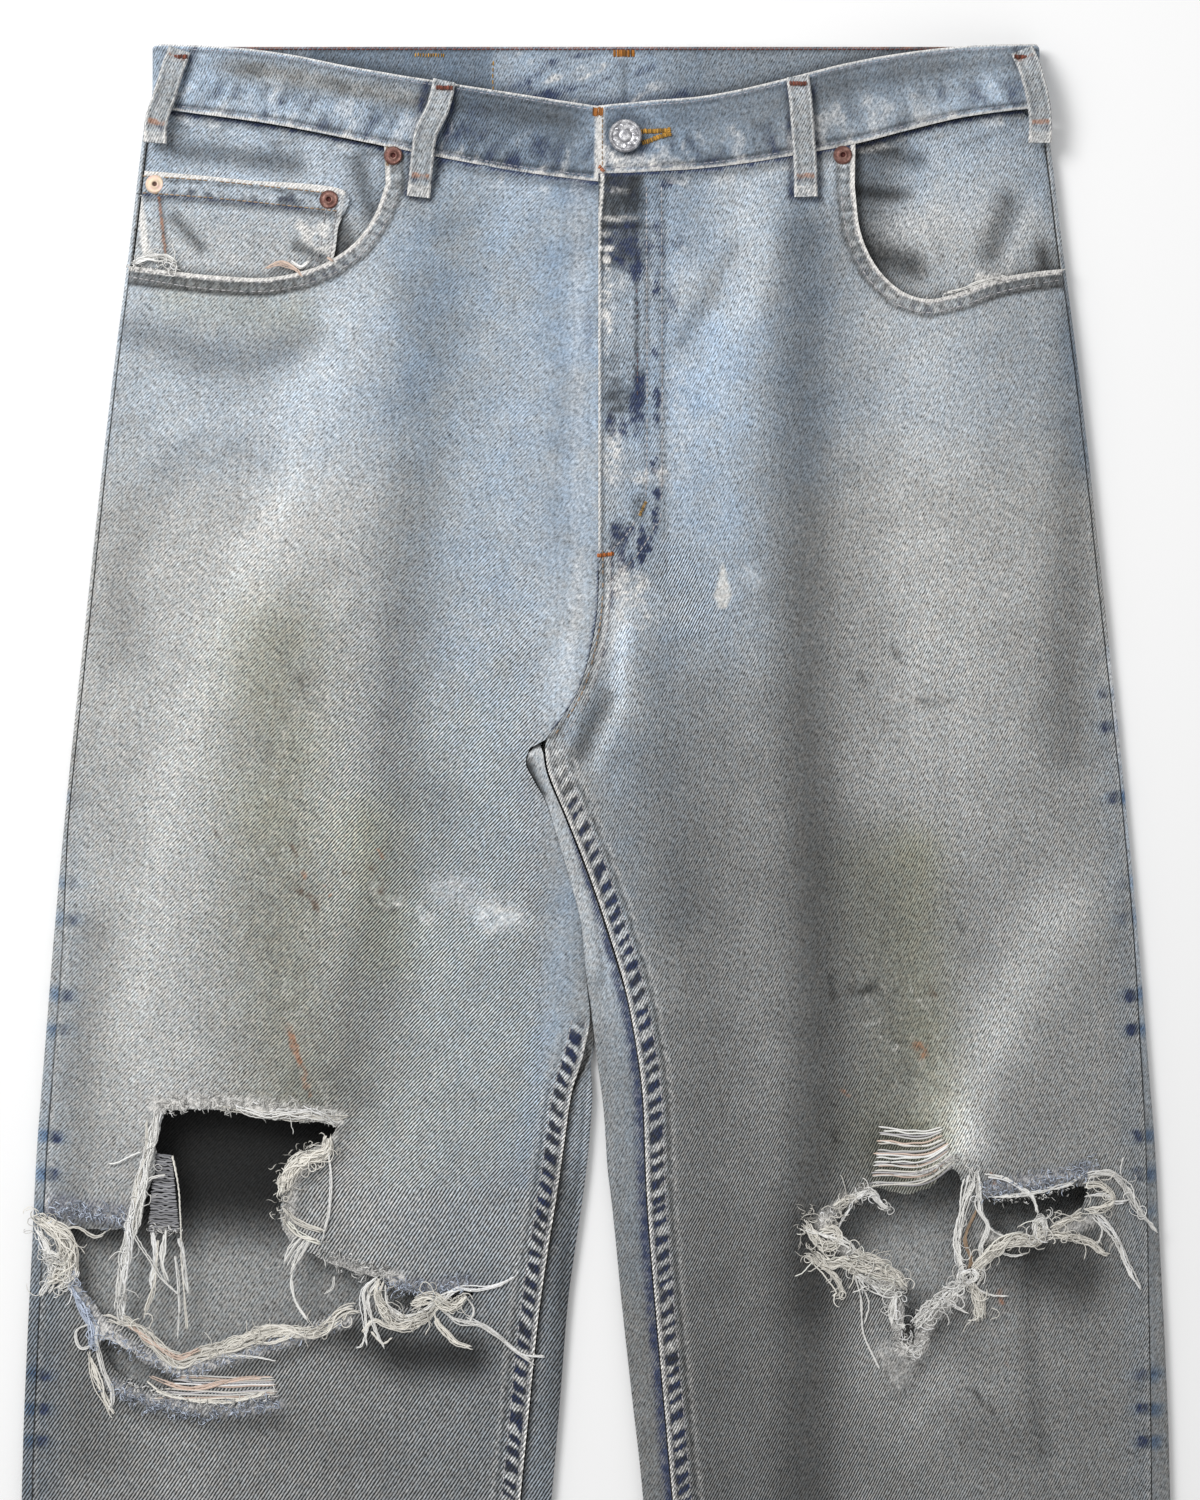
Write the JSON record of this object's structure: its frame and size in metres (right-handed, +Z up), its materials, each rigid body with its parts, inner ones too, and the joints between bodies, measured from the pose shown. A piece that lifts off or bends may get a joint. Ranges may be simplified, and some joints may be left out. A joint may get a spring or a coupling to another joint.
{
  "type": "ripped jeans",
  "caption": "Faded five-pocket denim jeans laid flat and face up, with torn knees, frayed threads, a button waistband and copper rivets.",
  "frame": {"origin": "centre of the laid-out garment in plan, on the surface it lies on", "axes": "+Y from the hems towards the waist, +X towards the wearer's left, +Z up out of the front of the jeans"},
  "size_m": [0.5739, 1.075, 0.0248],
  "materials": {
    "denim": "faded, worn twill",
    "threads": "frayed cotton",
    "copper": "worn copper plate",
    "steel": "worn nickel plate"
  },
  "bodies": {
    "root": {"back_panel_left": "denim", "back_panel_right": "denim", "back_pocket_left": "denim", "back_pocket_right": "denim", "yoke_left": "denim", "yoke_right": "denim", "front_panel_left": "denim", "front_panel_right": "denim", "pocket_facing_left": "denim", "pocket_facing_right": "denim", "coin_pocket": "denim", "waistband": "denim", "belt_loop_back": "denim", "belt_loop_front_left": "denim", "belt_loop_front_right": "denim", "belt_loop_side_left": "denim", "belt_loop_side_right": "denim", "fringe_knee_left": "threads", "fringe_knee_right": "threads", "rivet_coin_inner": "copper", "rivet_coin_outer": "copper", "rivet_pocket_left": "copper", "rivet_pocket_right": "copper", "waist_button": "steel"}
  },
  "joints": []
}
